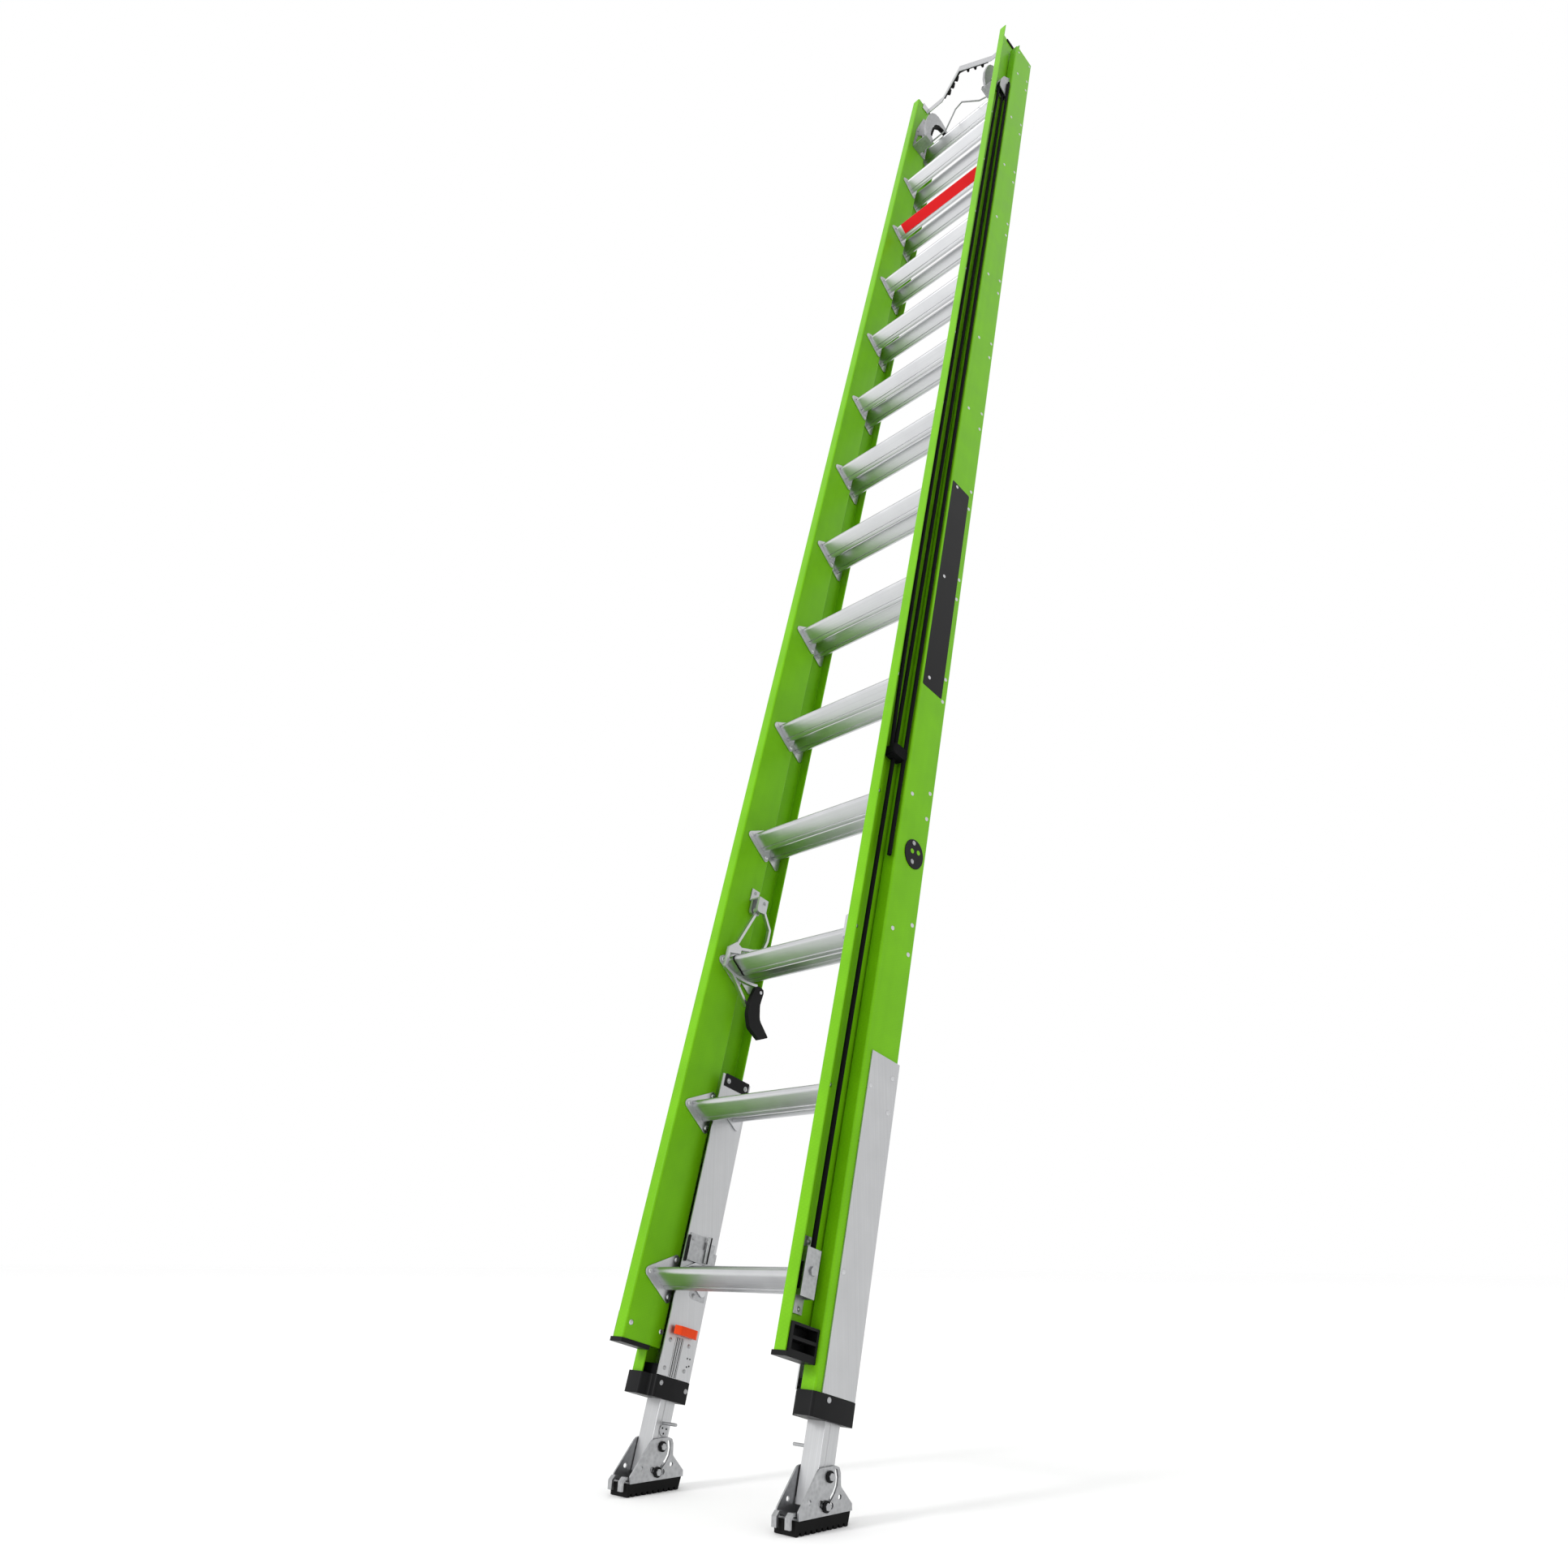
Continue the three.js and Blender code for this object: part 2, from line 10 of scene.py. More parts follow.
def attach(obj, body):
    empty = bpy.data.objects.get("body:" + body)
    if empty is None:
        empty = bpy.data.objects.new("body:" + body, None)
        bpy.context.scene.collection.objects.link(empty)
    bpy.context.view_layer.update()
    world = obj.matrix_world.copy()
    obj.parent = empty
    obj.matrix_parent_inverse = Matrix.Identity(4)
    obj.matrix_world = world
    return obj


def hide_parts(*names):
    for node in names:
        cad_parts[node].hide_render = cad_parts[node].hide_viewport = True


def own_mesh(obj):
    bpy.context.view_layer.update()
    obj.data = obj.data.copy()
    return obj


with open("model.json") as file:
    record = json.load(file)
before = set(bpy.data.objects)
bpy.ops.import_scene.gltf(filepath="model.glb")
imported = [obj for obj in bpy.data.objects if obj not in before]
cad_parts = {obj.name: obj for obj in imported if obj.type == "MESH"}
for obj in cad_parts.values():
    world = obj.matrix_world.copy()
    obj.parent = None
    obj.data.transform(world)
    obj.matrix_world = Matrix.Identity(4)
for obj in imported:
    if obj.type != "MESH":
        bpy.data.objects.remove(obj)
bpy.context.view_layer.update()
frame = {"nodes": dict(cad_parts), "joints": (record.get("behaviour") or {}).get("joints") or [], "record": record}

# Places on the leaning ladder are x across, n towards the wall and r up the rail, in millimetres,
# from the front rivet of the bottom base rung. The feet stand level about the same origin.
MM = 0.001
SLIDE = next(joint for joint in frame["joints"] if joint["name"] == "fly_slide")
LEAN = math.atan2(SLIDE["axis"][1], SLIDE["axis"][2])
ORIGIN = Vector((0, -0.48785, 0.3415))
LEVEL_FRAME = Matrix.Translation(ORIGIN)
LEANING_FRAME = LEVEL_FRAME @ Matrix.Rotation(-LEAN, 4, "X")
PITCH = 304.8
BASE_RUNGS = 14
FLY_RUNGS = 13
SIDES = (("left", -1), ("right", 1))

# Rails and rungs. A web is how far from the middle the flat back of a rail's channel lies, and GAP is
# the clearance between parts. LOCK_RUNG and STICKER_RUNG count the fly's rungs from 0.
GAP = 0.3
WALL = 3.2
BASE_WEB = 219.8
FLY_WEB = 183.4
FLY_SHIFT = (-61.9, -18.2)
LOCK_RUNG = 2
STICKER_RUNG = 11
RIVET_PLACES = ((0, 0), (52.5, 31.2), (52.3, -31.1))
RIVET_RADIUS = 4.6

# Legs, sleeves and feet.
SLEEVE_INNER = 165.5
SLEEVE_OUTER = 222.6
SLEEVED_RUNGS = 2
SLEEVE_LOW = -171
COLLAR = {"low": -206, "high": -172.3, "outer": 223.5, "hole": ((174, 18.5), (212.4, 53.1))}
CAD_HALF_WIDTH = 225.3
SHOE_INNER = 169.6
SHOE_OUTER = 216.4
FOOT_BOLTS = ((-30.3, -275), (-38.9, -311.5))
BOLT_RADIUS = 4
BOLT_HEAD = {"radius": 5.5, "thick": 3}
BUSHING = {"radius": 8, "thick": 3}
LEG_PIN = {"place": (34.5, -240), "radius": 2.5, "end": 139}
LEG_DISC = {"place": (39, -250), "radius": 9.5}

# The hoist rope.
ROPE_X = 199.4
TAIL_X = 213.4
ROPE_RADIUS = 4.4
SHEAVE = (-49, 3808)


# ---- camera, light and floor ----

def make_camera():
    data = bpy.data.cameras.new("camera")
    data.sensor_width = 36
    data.lens = 25.66
    data.clip_end = 100
    camera = bpy.data.objects.new("camera", data)
    bpy.context.scene.collection.objects.link(camera)
    turn = (
        Matrix.Rotation(math.radians(45.125), 4, "Z")
        @ Matrix.Rotation(math.radians(90 + 22.99), 4, "X")
        @ Matrix.Rotation(math.radians(0.374), 4, "Z")
    )
    camera.matrix_world = Matrix.Translation(ORIGIN + Vector((1.5149, -1.4268, 0.0196))) @ turn
    bpy.context.scene.camera = camera


def make_area_light(name, place, target, size, watts):
    data = bpy.data.lights.new(name, "AREA")
    data.shape = "DISK"
    data.size = size
    data.energy = watts
    light = bpy.data.objects.new(name, data)
    light.location = place
    light.rotation_euler = (Vector(target) - Vector(place)).to_track_quat("-Z", "Y").to_euler()
    bpy.context.scene.collection.objects.link(light)


def make_studio():
    world = bpy.data.worlds.new("studio")
    world.use_nodes = True
    background = world.node_tree.nodes["Background"]
    background.inputs["Color"].default_value = (1, 1, 1, 1)
    background.inputs["Strength"].default_value = 1.0
    bpy.context.scene.world = world
    bpy.context.scene.view_settings.view_transform = "Standard"
    make_area_light("key", (-2.0, -12.0, 6.0), (0, 0, 2), 2.5, 620)

    floor = bmesh.new()
    bmesh.ops.create_circle(floor, cap_ends=True, segments=64, radius=40)
    mesh = bpy.data.meshes.new("floor")
    floor.to_mesh(mesh)
    stage = bpy.data.objects.new("floor", mesh)
    stage.location.z = -0.0005
    bpy.context.scene.collection.objects.link(stage)
    material = bpy.data.materials.new("floor")
    material.use_nodes = True
    shader = material.node_tree.nodes["Principled BSDF"]
    shader.inputs["Base Color"].default_value = (0.99, 0.99, 0.99, 1)
    shader.inputs["Roughness"].default_value = 0.9
    mesh.materials.append(material)


# ---- materials ----

class Look:
    """One procedural material, with short calls for the nodes it is made from."""

    def __init__(self, name, roughness, metallic=0.0, shine=0.5):
        self.material = bpy.data.materials.new(name)
        self.material.use_nodes = True
        self.tree = self.material.node_tree
        self.shader = self.tree.nodes["Principled BSDF"]
        self.shader.inputs["Roughness"].default_value = roughness
        self.shader.inputs["Metallic"].default_value = metallic
        self.shader.inputs["Specular IOR Level"].default_value = shine
        self.bump = None

    def node(self, kind, **inputs):
        node = self.tree.nodes.new(kind)
        for name, value in inputs.items():
            self.put(node.inputs[name.replace("_", " ")], value)
        return node

    def put(self, socket, value):
        if isinstance(value, bpy.types.NodeSocket):
            self.tree.links.new(value, socket)
        else:
            socket.default_value = value

    def place(self, scale, turn=(0, 0, 0)):
        texture = self.node("ShaderNodeTexCoord").outputs["Object"]
        return self.node("ShaderNodeMapping", Vector=texture, Scale=scale, Rotation=turn).outputs["Vector"]

    def noise(self, place, scale, detail=3.0):
        return self.node("ShaderNodeTexNoise", Vector=place, Scale=scale, Detail=detail).outputs["Fac"]

    def wave(self, place, scale, distortion=0.0, direction="X"):
        node = self.node("ShaderNodeTexWave", Vector=place, Scale=scale, Distortion=distortion)
        node.bands_direction = direction
        return node.outputs["Fac"]

    def tint(self, factor, dark, light):
        """Colours the surface between two tones."""
        ramp = self.node("ShaderNodeValToRGB", Fac=factor)
        ramp.color_ramp.elements[0].color = (*dark, 1)
        ramp.color_ramp.elements[1].color = (*light, 1)
        self.put(self.shader.inputs["Base Color"], ramp.outputs["Color"])

    def level(self, factor, low, high):
        node = self.node("ShaderNodeMapRange", Value=factor)
        node.inputs["To Min"].default_value = low
        node.inputs["To Max"].default_value = high
        return node.outputs["Result"]

    def multiply(self, a, b):
        node = self.tree.nodes.new("ShaderNodeMath")
        node.operation = "MULTIPLY"
        self.put(node.inputs[0], a)
        self.put(node.inputs[1], b)
        return node.outputs["Value"]

    def roughness(self, socket):
        self.put(self.shader.inputs["Roughness"], socket)

    def relief(self, height, strength, distance):
        bump = self.node("ShaderNodeBump", Height=height)
        bump.inputs["Strength"].default_value = strength
        bump.inputs["Distance"].default_value = distance
        if self.bump:
            self.tree.links.new(self.bump, bump.inputs["Normal"])
        self.bump = bump.outputs["Normal"]
        self.tree.links.new(self.bump, self.shader.inputs["Normal"])


def fibreglass():
    look = Look("fibreglass", 0.4, shine=0.15)
    upright = look.place((1, 1, 1), (LEAN, 0, 0))
    one_way = look.place((1, 1, 1), (LEAN + 0.75, 0.3, 0))
    other_way = look.place((1, 1, 1), (LEAN - 0.75, -0.3, 0))
    veil = look.multiply(
        look.wave(one_way, 75, 2.5, "Z"),
        look.wave(other_way, 75, 2.5, "Z"),
    )
    drawn = look.noise(look.place((60, 60, 1.2), (LEAN, 0, 0)), 1.0, 4.0)
    patches = look.noise(upright, 14.0, 6.0)
    tone = look.multiply(look.level(veil, 0.86, 1.0), look.level(patches, 0.45, 1.15))
    shade = look.multiply(tone, look.level(drawn, 0.8, 1.15))
    look.tint(shade, (0.085, 0.27, 0.001), (0.175, 0.5, 0.003))
    look.roughness(look.level(patches, 0.34, 0.5))
    look.relief(veil, 0.12, 0.0003)
    look.relief(drawn, 0.08, 0.0004)
    return look.material


def aluminium():
    look = Look("aluminium", 0.36, metallic=1.0)
    across = look.place((1.5, 500, 500), (LEAN, 0, 0))
    drawn = look.noise(across, 1.0, 3.0)
    cloud = look.noise(look.place((1, 1, 1)), 14.0, 4.0)
    look.tint(look.multiply(drawn, cloud), (0.5, 0.505, 0.52), (0.74, 0.745, 0.755))
    look.roughness(look.level(cloud, 0.26, 0.4))
    look.relief(drawn, 0.08, 0.0002)
    return look.material


def extruded_leg():
    look = Look("extruded_leg", 0.38, metallic=1.0)
    drawn = look.noise(look.place((500, 500, 1.5), (LEAN, 0, 0)), 1.0, 3.0)
    cloud = look.noise(look.place((1, 1, 1)), 18.0, 4.0)
    look.tint(look.multiply(drawn, cloud), (0.46, 0.465, 0.475), (0.66, 0.665, 0.675))
    look.roughness(look.level(cloud, 0.32, 0.5))
    look.relief(drawn, 0.1, 0.0002)
    return look.material


def steel():
    look = Look("zinc_steel", 0.42, metallic=1.0)
    place = look.place((1, 1, 1))
    spangle = look.node("ShaderNodeTexVoronoi", Vector=place, Scale=160.0).outputs["Distance"]
    cloud = look.noise(place, 30.0, 4.0)
    look.tint(look.multiply(spangle, cloud), (0.34, 0.345, 0.355), (0.56, 0.565, 0.575))
    look.roughness(look.level(cloud, 0.3, 0.55))
    look.relief(cloud, 0.12, 0.0004)
    return look.material


def moulded(name, dark, light, roughness, grain=900.0, relief=0.2, shine=0.12):
    look = Look(name, roughness, shine=shine)
    place = look.place((1, 1, 1))
    fine = look.noise(place, grain, 2.0)
    cloud = look.noise(place, 22.0, 3.0)
    look.tint(cloud, dark, light)
    look.roughness(look.level(cloud, roughness - 0.06, roughness + 0.1))
    look.relief(fine, relief, 0.0002)
    return look.material


def braid():
    look = Look("braided_rope", 0.85, shine=0.1)
    one_way = look.wave(look.place((1, 1, 1), (LEAN + 0.7, 0, 0)), 240, 0.5, "Z")
    other_way = look.wave(look.place((1, 1, 1), (LEAN - 0.7, 0, 0)), 240, 0.5, "Z")
    strands = look.multiply(one_way, other_way)
    look.tint(strands, (0.001, 0.001, 0.0012), (0.014, 0.014, 0.016))
    look.relief(strands, 0.7, 0.0006)
    return look.material


MATERIALS = {
    "fibreglass": fibreglass(),
    "aluminium": aluminium(),
    "leg": extruded_leg(),
    "steel": steel(),
    "plastic": moulded("black_plastic", (0.004, 0.004, 0.0045), (0.011, 0.011, 0.012), 0.4),
    "rubber": moulded("tread_rubber", (0.004, 0.004, 0.004), (0.01, 0.01, 0.01), 0.75, 500.0, 0.4),
    "release": moulded("release_orange", (0.72, 0.05, 0.008), (0.86, 0.075, 0.012), 0.38),
    "rope": braid(),
    "label": moulded("blank_label", (0.003, 0.003, 0.003), (0.007, 0.007, 0.008), 0.35, 300.0, 0.05),
    "sticker": moulded("red_sticker", (0.6, 0.006, 0.009), (0.7, 0.01, 0.013), 0.35, 300.0, 0.05),
}


# ---- mesh helpers ----

def arc(centre, radius, start, end, steps):
    return [
        (
            centre[0] + radius * math.cos(start + (end - start) * i / steps),
            centre[1] + radius * math.sin(start + (end - start) * i / steps),
        )
        for i in range(steps + 1)
    ]


def circle(centre, radius, sides=20):
    return arc(centre, radius, 0, 2 * math.pi, sides)[:-1]


def corner_at(points, i):
    at = Vector(points[i][:2])
    before = (Vector(points[i - 1][:2]) - at).normalized()
    after = (Vector(points[(i + 1) % len(points)][:2]) - at).normalized()
    half = math.acos(max(-1, min(1, before.dot(after)))) / 2
    return at, before, after, (before + after).normalized(), half


def rounded_corner(points, i, steps=6):
    at, before, after, inward, half = corner_at(points, i)
    radius = points[i][2]
    reach = radius / math.tan(half)
    centre = at + inward * radius / math.sin(half)
    first = at + before * reach - centre
    last = at + after * reach - centre
    start = math.atan2(first.y, first.x)
    sweep = (math.atan2(last.y, last.x) - start + math.pi) % (2 * math.pi) - math.pi
    return arc(centre, radius, start, start + sweep, steps)


def rounded(points, steps=6):
    return [p for i in range(len(points)) for p in rounded_corner(points, i, steps)]


def inset(points, distance):
    result = []
    for i, point in enumerate(points):
        at, _, _, inward, half = corner_at(points, i)
        moved = at + inward * distance / math.sin(half)
        result.append((moved.x, moved.y, max(point[2] - distance, 0.5)))
    return result


def notched(start, end, shares, width, depth):
    """Points of a straight edge from start to end with a narrow groove cut at each share of its length."""
    start, end = Vector(start), Vector(end)
    along = (end - start).normalized()
    inward = Vector((-along.y, along.x))
    points = []
    for share in shares:
        middle = start.lerp(end, share)
        points += [
            middle - along * width / 2,
            middle - along * width / 4 + inward * depth,
            middle + along * width / 4 + inward * depth,
            middle + along * width / 2,
        ]
    return [tuple(p) for p in points]


def add_prism(bm, outline, low, high, to_3d, hole=None):
    """Adds to bm a closed prism of an outline, with an optional hole, between two levels."""
    loops = [outline] + ([hole] if hole else [])
    rims = []
    for level in (low, high):
        rims.append([[bm.verts.new(to_3d(u, v, level)) for u, v in loop] for loop in loops])
    for lower, upper in zip(*rims):
        for i in range(len(lower)):
            k = (i + 1) % len(lower)
            bm.faces.new((lower[i], lower[k], upper[k], upper[i]))
    for rim in rims:
        if hole:
            edges = [
                bm.edges.get((loop[i], loop[(i + 1) % len(loop)])) for loop in rim for i in range(len(loop))
            ]
            bmesh.ops.triangle_fill(bm, use_beauty=True, use_dissolve=False, edges=edges)
        else:
            bm.faces.new(rim[0])


def span(side, near, far):
    """The two levels of a prism across the ladder, between two distances from the middle."""
    return sorted((side * near, side * far))


def across(u, v, level):
    return Vector((level, u, v)) * MM


def up_rail(u, v, level):
    return Vector((u, v, level)) * MM


def add_dome(bm, centre, out, radius, height, steps=4, sides=14):
    """Adds a closed low dome, such as a rivet head, standing out from centre along the unit vector out."""
    out = Vector(out)
    side = out.orthogonal().normalized()
    up = out.cross(side)
    rings = []
    for step in range(steps):
        angle = step / steps * math.pi / 2
        reach = radius * math.cos(angle)
        rise = height * math.sin(angle)
        rings.append([
            bm.verts.new((Vector(centre) + out * rise
                          + side * reach * math.cos(2 * math.pi * k / sides)
                          + up * reach * math.sin(2 * math.pi * k / sides)) * MM)
            for k in range(sides)
        ])
    tip = bm.verts.new((Vector(centre) + out * height) * MM)
    bm.faces.new(reversed(rings[0]))
    for lower, upper in zip(rings, rings[1:]):
        for k in range(sides):
            bm.faces.new((lower[k], lower[(k + 1) % sides], upper[(k + 1) % sides], upper[k]))
    for k in range(sides):
        bm.faces.new((rings[-1][k], rings[-1][(k + 1) % sides], tip))


def add_tube(bm, path, radius, sides=12):
    """Adds a closed round bar that follows a path of points, in millimetres."""
    points = [Vector(p) for p in path]
    rings = []
    side = None
    for i, point in enumerate(points):
        along = (points[min(i + 1, len(points) - 1)] - points[max(i - 1, 0)]).normalized()
        side = (side - along * side.dot(along)).normalized() if side else along.orthogonal().normalized()
        up = along.cross(side)
        rings.append([
            bm.verts.new((point + (side * math.cos(2 * math.pi * k / sides)
                                   + up * math.sin(2 * math.pi * k / sides)) * radius) * MM)
            for k in range(sides)
        ])
    for lower, upper in zip(rings, rings[1:]):
        for k in range(sides):
            bm.faces.new((lower[k], lower[(k + 1) % sides], upper[(k + 1) % sides], upper[k]))
    bm.faces.new(list(reversed(rings[0])))
    bm.faces.new(rings[-1])


def finish_piece(name, bm, body, slot, material=None, smooth=False, bevel=0.0):
    bmesh.ops.recalc_face_normals(bm, faces=bm.faces)
    mesh = bpy.data.meshes.new(name)
    bm.to_mesh(mesh)
    bm.free()
    mesh.materials.append(MATERIALS[material or slot])
    piece = bpy.data.objects.new(name, mesh)
    piece.matrix_world = LEANING_FRAME
    bpy.context.scene.collection.objects.link(piece)
    if smooth:
        smooth_by_angle(mesh)
    if bevel:
        soften_edges(piece, bevel)
    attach(piece, body)
    return piece


def smooth_by_angle(mesh, degrees=40):
    mesh.polygons.foreach_set("use_smooth", [True] * len(mesh.polygons))
    mesh.set_sharp_from_angle(angle=math.radians(degrees))


def soften_edges(piece, width):
    modifier = piece.modifiers.new("edges", "BEVEL")
    modifier.width = width
    modifier.segments = 2
    modifier.limit_method = "ANGLE"
    modifier.angle_limit = math.radians(35)
    modifier.harden_normals = False


# ---- rungs ----

TUBE = ((-5.9, 4.8, 7.1), (46, -24.9, 5), (50.5, 19.4, 5))
TUBE_WALL = 2.4
PLATE = 3
PLATE_OUTLINE = ((-19.1, -0.8, 9), (58.9, -46.8, 7), (58.9, 45.2, 7))
SHORT_PLATE_OUTLINE = ((-9, -0.8, 5), (58.9, -40, 7), (58.9, 40, 7))


def tube_outline():
    """The rung's section: a grooved tread on top and one groove low on its front face."""
    nose, heel, back = (rounded_corner(TUBE, i) for i in range(3))
    front_groove = notched(nose[-1], heel[0], (0.8,), 1.8, 1.3)
    tread = notched(back[-1], nose[0], [0.08 + 0.12 * i for i in range(8)], 1.7, 0.9)
    return [*nose, *front_groove, *heel, *back, *tread]


def make_rung(name, body, half_span, plate, shift, height):
    bm = bmesh.new()
    dn, dr = shift[0], shift[1] + height

    def moved(points):
        return [(u + dn, v + dr) for u, v in points]

    inside = moved(rounded(inset(TUBE, TUBE_WALL)))
    tube_end = half_span - PLATE + 0.1
    add_prism(bm, moved(tube_outline()), -tube_end, tube_end, across, inside)
    for _, side in SIDES:
        add_prism(bm, moved(rounded(plate)), *span(side, half_span, half_span - PLATE), across, inside)
    piece = finish_piece(f"{name}_tube", bm, body, "aluminium", smooth=True)
    soften_edges(piece, 0.0004)
    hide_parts(name)


def make_rungs():
    for rung in range(1, BASE_RUNGS + 1):
        sleeved = rung <= SLEEVED_RUNGS
        half_span = (SLEEVE_INNER if sleeved else BASE_WEB - WALL) - GAP
        plate = SHORT_PLATE_OUTLINE if sleeved else PLATE_OUTLINE
        make_rung(f"base_rung_{rung:02d}", "base", half_span, plate, (0, 0), (rung - 1) * PITCH)
    for rung in range(1, FLY_RUNGS + 1):
        height = (rung - 1) * PITCH
        make_rung(f"fly_rung_{rung:02d}", "fly", FLY_WEB - GAP, PLATE_OUTLINE, FLY_SHIFT, height)


def make_sticker():
    """A blank red strip along the lower front face of one fly rung."""
    nose, heel = Vector(TUBE[0][:2]), Vector(TUBE[1][:2])
    out = Vector((heel.y - nose.y, nose.x - heel.x)).normalized()
    shift = Vector(FLY_SHIFT) + Vector((0, STICKER_RUNG * PITCH))
    near, far = (nose.lerp(heel, share) + shift for share in (0.2, 0.74))
    outline = [near + out * 0.05, far + out * 0.05, far + out * 0.4, near + out * 0.4]
    bm = bmesh.new()
    add_prism(bm, outline, -158, 172, across)
    finish_piece("blank_sticker", bm, "fly", "plastic", "sticker")


def make_ring_gaskets():
    """Thin black rings on the third fly rung, beside each rung lock."""
    bm = bmesh.new()
    shift = Vector(FLY_SHIFT) + Vector((0, LOCK_RUNG * PITCH))
    outer, inner = (
        [(u + shift.x, v + shift.y) for u, v in rounded(inset(TUBE, depth))] for depth in (-0.5, 0.5)
    )
    for _, side in SIDES:
        add_prism(bm, outer, *span(side, 153.5, 158), across, inner)
    finish_piece("lock_rung_rings", bm, "fly", "plastic")


# ---- rails ----

RAIL_CORNER = 4.5
RAILS = {
    "base": {"web": BASE_WEB, "tip": 191, "front": -23.1, "back": 65.9, "low": -172, "high": 4131},
    "fly": {"web": FLY_WEB, "tip": 209.3, "front": -87.3, "back": 1.7, "low": -131.5, "high": 4190},
}


def make_rails():
    for section, rail in RAILS.items():
        web, tip, front, back = (rail[key] for key in ("web", "tip", "front", "back"))
        inner = web + math.copysign(WALL, tip - web)
        tip_radius, root_radius = 0.8, 1.6
        corners = (
            (web, front, RAIL_CORNER),
            (tip, front, tip_radius),
            (tip, front + WALL, tip_radius),
            (inner, front + WALL, root_radius),
            (inner, back - WALL, root_radius),
            (tip, back - WALL, tip_radius),
            (tip, back, tip_radius),
            (web, back, RAIL_CORNER),
        )
        for label, side in SIDES:
            bm = bmesh.new()
            outline = [(side * x, n) for x, n in rounded(corners, 8)]
            add_prism(bm, outline, rail["low"], rail["high"], up_rail)
            name = f"{section}_rail_{label}"
            piece = finish_piece(f"{name}_channel", bm, section, "fibreglass", smooth=True)
            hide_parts(name)


# ---- rivets and screws ----

def make_rivets():
    """Three rivets at each rung's end, one at the bottom rung's, and a few at the ends of the rails."""
    base, fly = bmesh.new(), bmesh.new()
    plate_face = FLY_WEB - GAP - PLATE
    for _, side in SIDES:
        for rung in range(BASE_RUNGS):
            face = SLEEVE_OUTER if rung < SLEEVED_RUNGS else BASE_WEB
            for n, r in RIVET_PLACES[:1] if rung == 0 else RIVET_PLACES:
                height = min(2.0, CAD_HALF_WIDTH - face)
                add_dome(base, (side * face, n, r + rung * PITCH), (side, 0, 0), RIVET_RADIUS, height)
        for rung in range(FLY_RUNGS):
            for n, r in RIVET_PLACES:
                place = (n + FLY_SHIFT[0], r + FLY_SHIFT[1] + rung * PITCH)
                add_dome(fly, (side * plate_face, *place), (-side, 0, 0), RIVET_RADIUS, 2.2)
                add_dome(fly, (side * (FLY_WEB + WALL), *place), (side, 0, 0), 4.2, 1.6)
        for n, r in ((-8.8, 4103.6), (55, 4110)):
            add_dome(base, (side * BASE_WEB, n, r), (side, 0, 0), 4.2, 1.8)
        for n, r in ((-75.4, -106), (-6, -106)):
            add_dome(fly, (side * FLY_WEB, n, r), (-side, 0, 0), RIVET_RADIUS, 2.0)
    finish_piece("base_rivets", base, "base", "aluminium", smooth=True)
    finish_piece("fly_rivets", fly, "fly", "aluminium", smooth=True)


def add_screw(bm, centre, out, radius):
    """A pan head on a washer."""
    out = Vector(out)
    centre = Vector(centre)
    add_dome(bm, centre, out, radius * 1.5, 0.9, steps=2, sides=20)
    add_dome(bm, centre + out * 0.8, out, radius, radius * 0.6, sides=16)


def make_screws():
    """Screws on the inner faces of the leg sleeves and collars."""
    bm = bmesh.new()
    for _, side in SIDES:
        inward = (-side, 0, 0)
        for n, r in ((4.1, -115.4), (4.5, -159.7), (48.7, -117), (49.1, -156.5)):
            add_screw(bm, (side * SLEEVE_INNER, n, r), inward, 2.6)
        for n, r in ((8.5, 355), (55, 355)):
            add_screw(bm, (side * (SLEEVE_INNER - 1), n, r), inward, 3.4)
        for n, r in ((4.4, -183), (61.9, -186)):
            add_screw(bm, (side * 165, n, r), inward, 2.6)
    finish_piece("sleeve_screws", bm, "base", "steel", smooth=True)


# ---- legs, sleeves and small fittings ----

LEG = {"inner": 174.6, "outer": 211.7, "front": 19.2, "back": 52.4, "wall": 3, "low": -316, "high": 200}


def leant(place):
    """The leaning n and r of a level place y and z."""
    y, z = place
    return y * math.cos(LEAN) - z * math.sin(LEAN), y * math.sin(LEAN) + z * math.cos(LEAN)


def leg_outline(side):
    """A square tube with a groove a third of the way along each side face."""
    inner, outer, front, back = (LEG[key] for key in ("inner", "outer", "front", "back"))
    groove = notched((outer, front), (outer, back), (0.36,), 2.2, 1.2)
    far_groove = notched((inner, back), (inner, front), (0.64,), 2.2, 1.2)
    outline = [(inner, front), (outer, front), *groove, (outer, back), (inner, back), *far_groove]
    return [(side * x, n) for x, n in outline]


def rectangle(side, inner, outer, front, back):
    return [(side * x, n) for x, n in ((inner, front), (outer, front), (outer, back), (inner, back))]


def make_leg_tube(name, body, side):
    wall = LEG["wall"]
    hole = rectangle(
        side, LEG["inner"] + wall, LEG["outer"] - wall, LEG["front"] + wall, LEG["back"] - wall,
    )
    bm = bmesh.new()
    add_prism(bm, leg_outline(side), LEG["low"], LEG["high"], up_rail, hole)
    tube = finish_piece(f"{name}_tube", bm, body, "aluminium", "leg", bevel=0.0005)
    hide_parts(name)


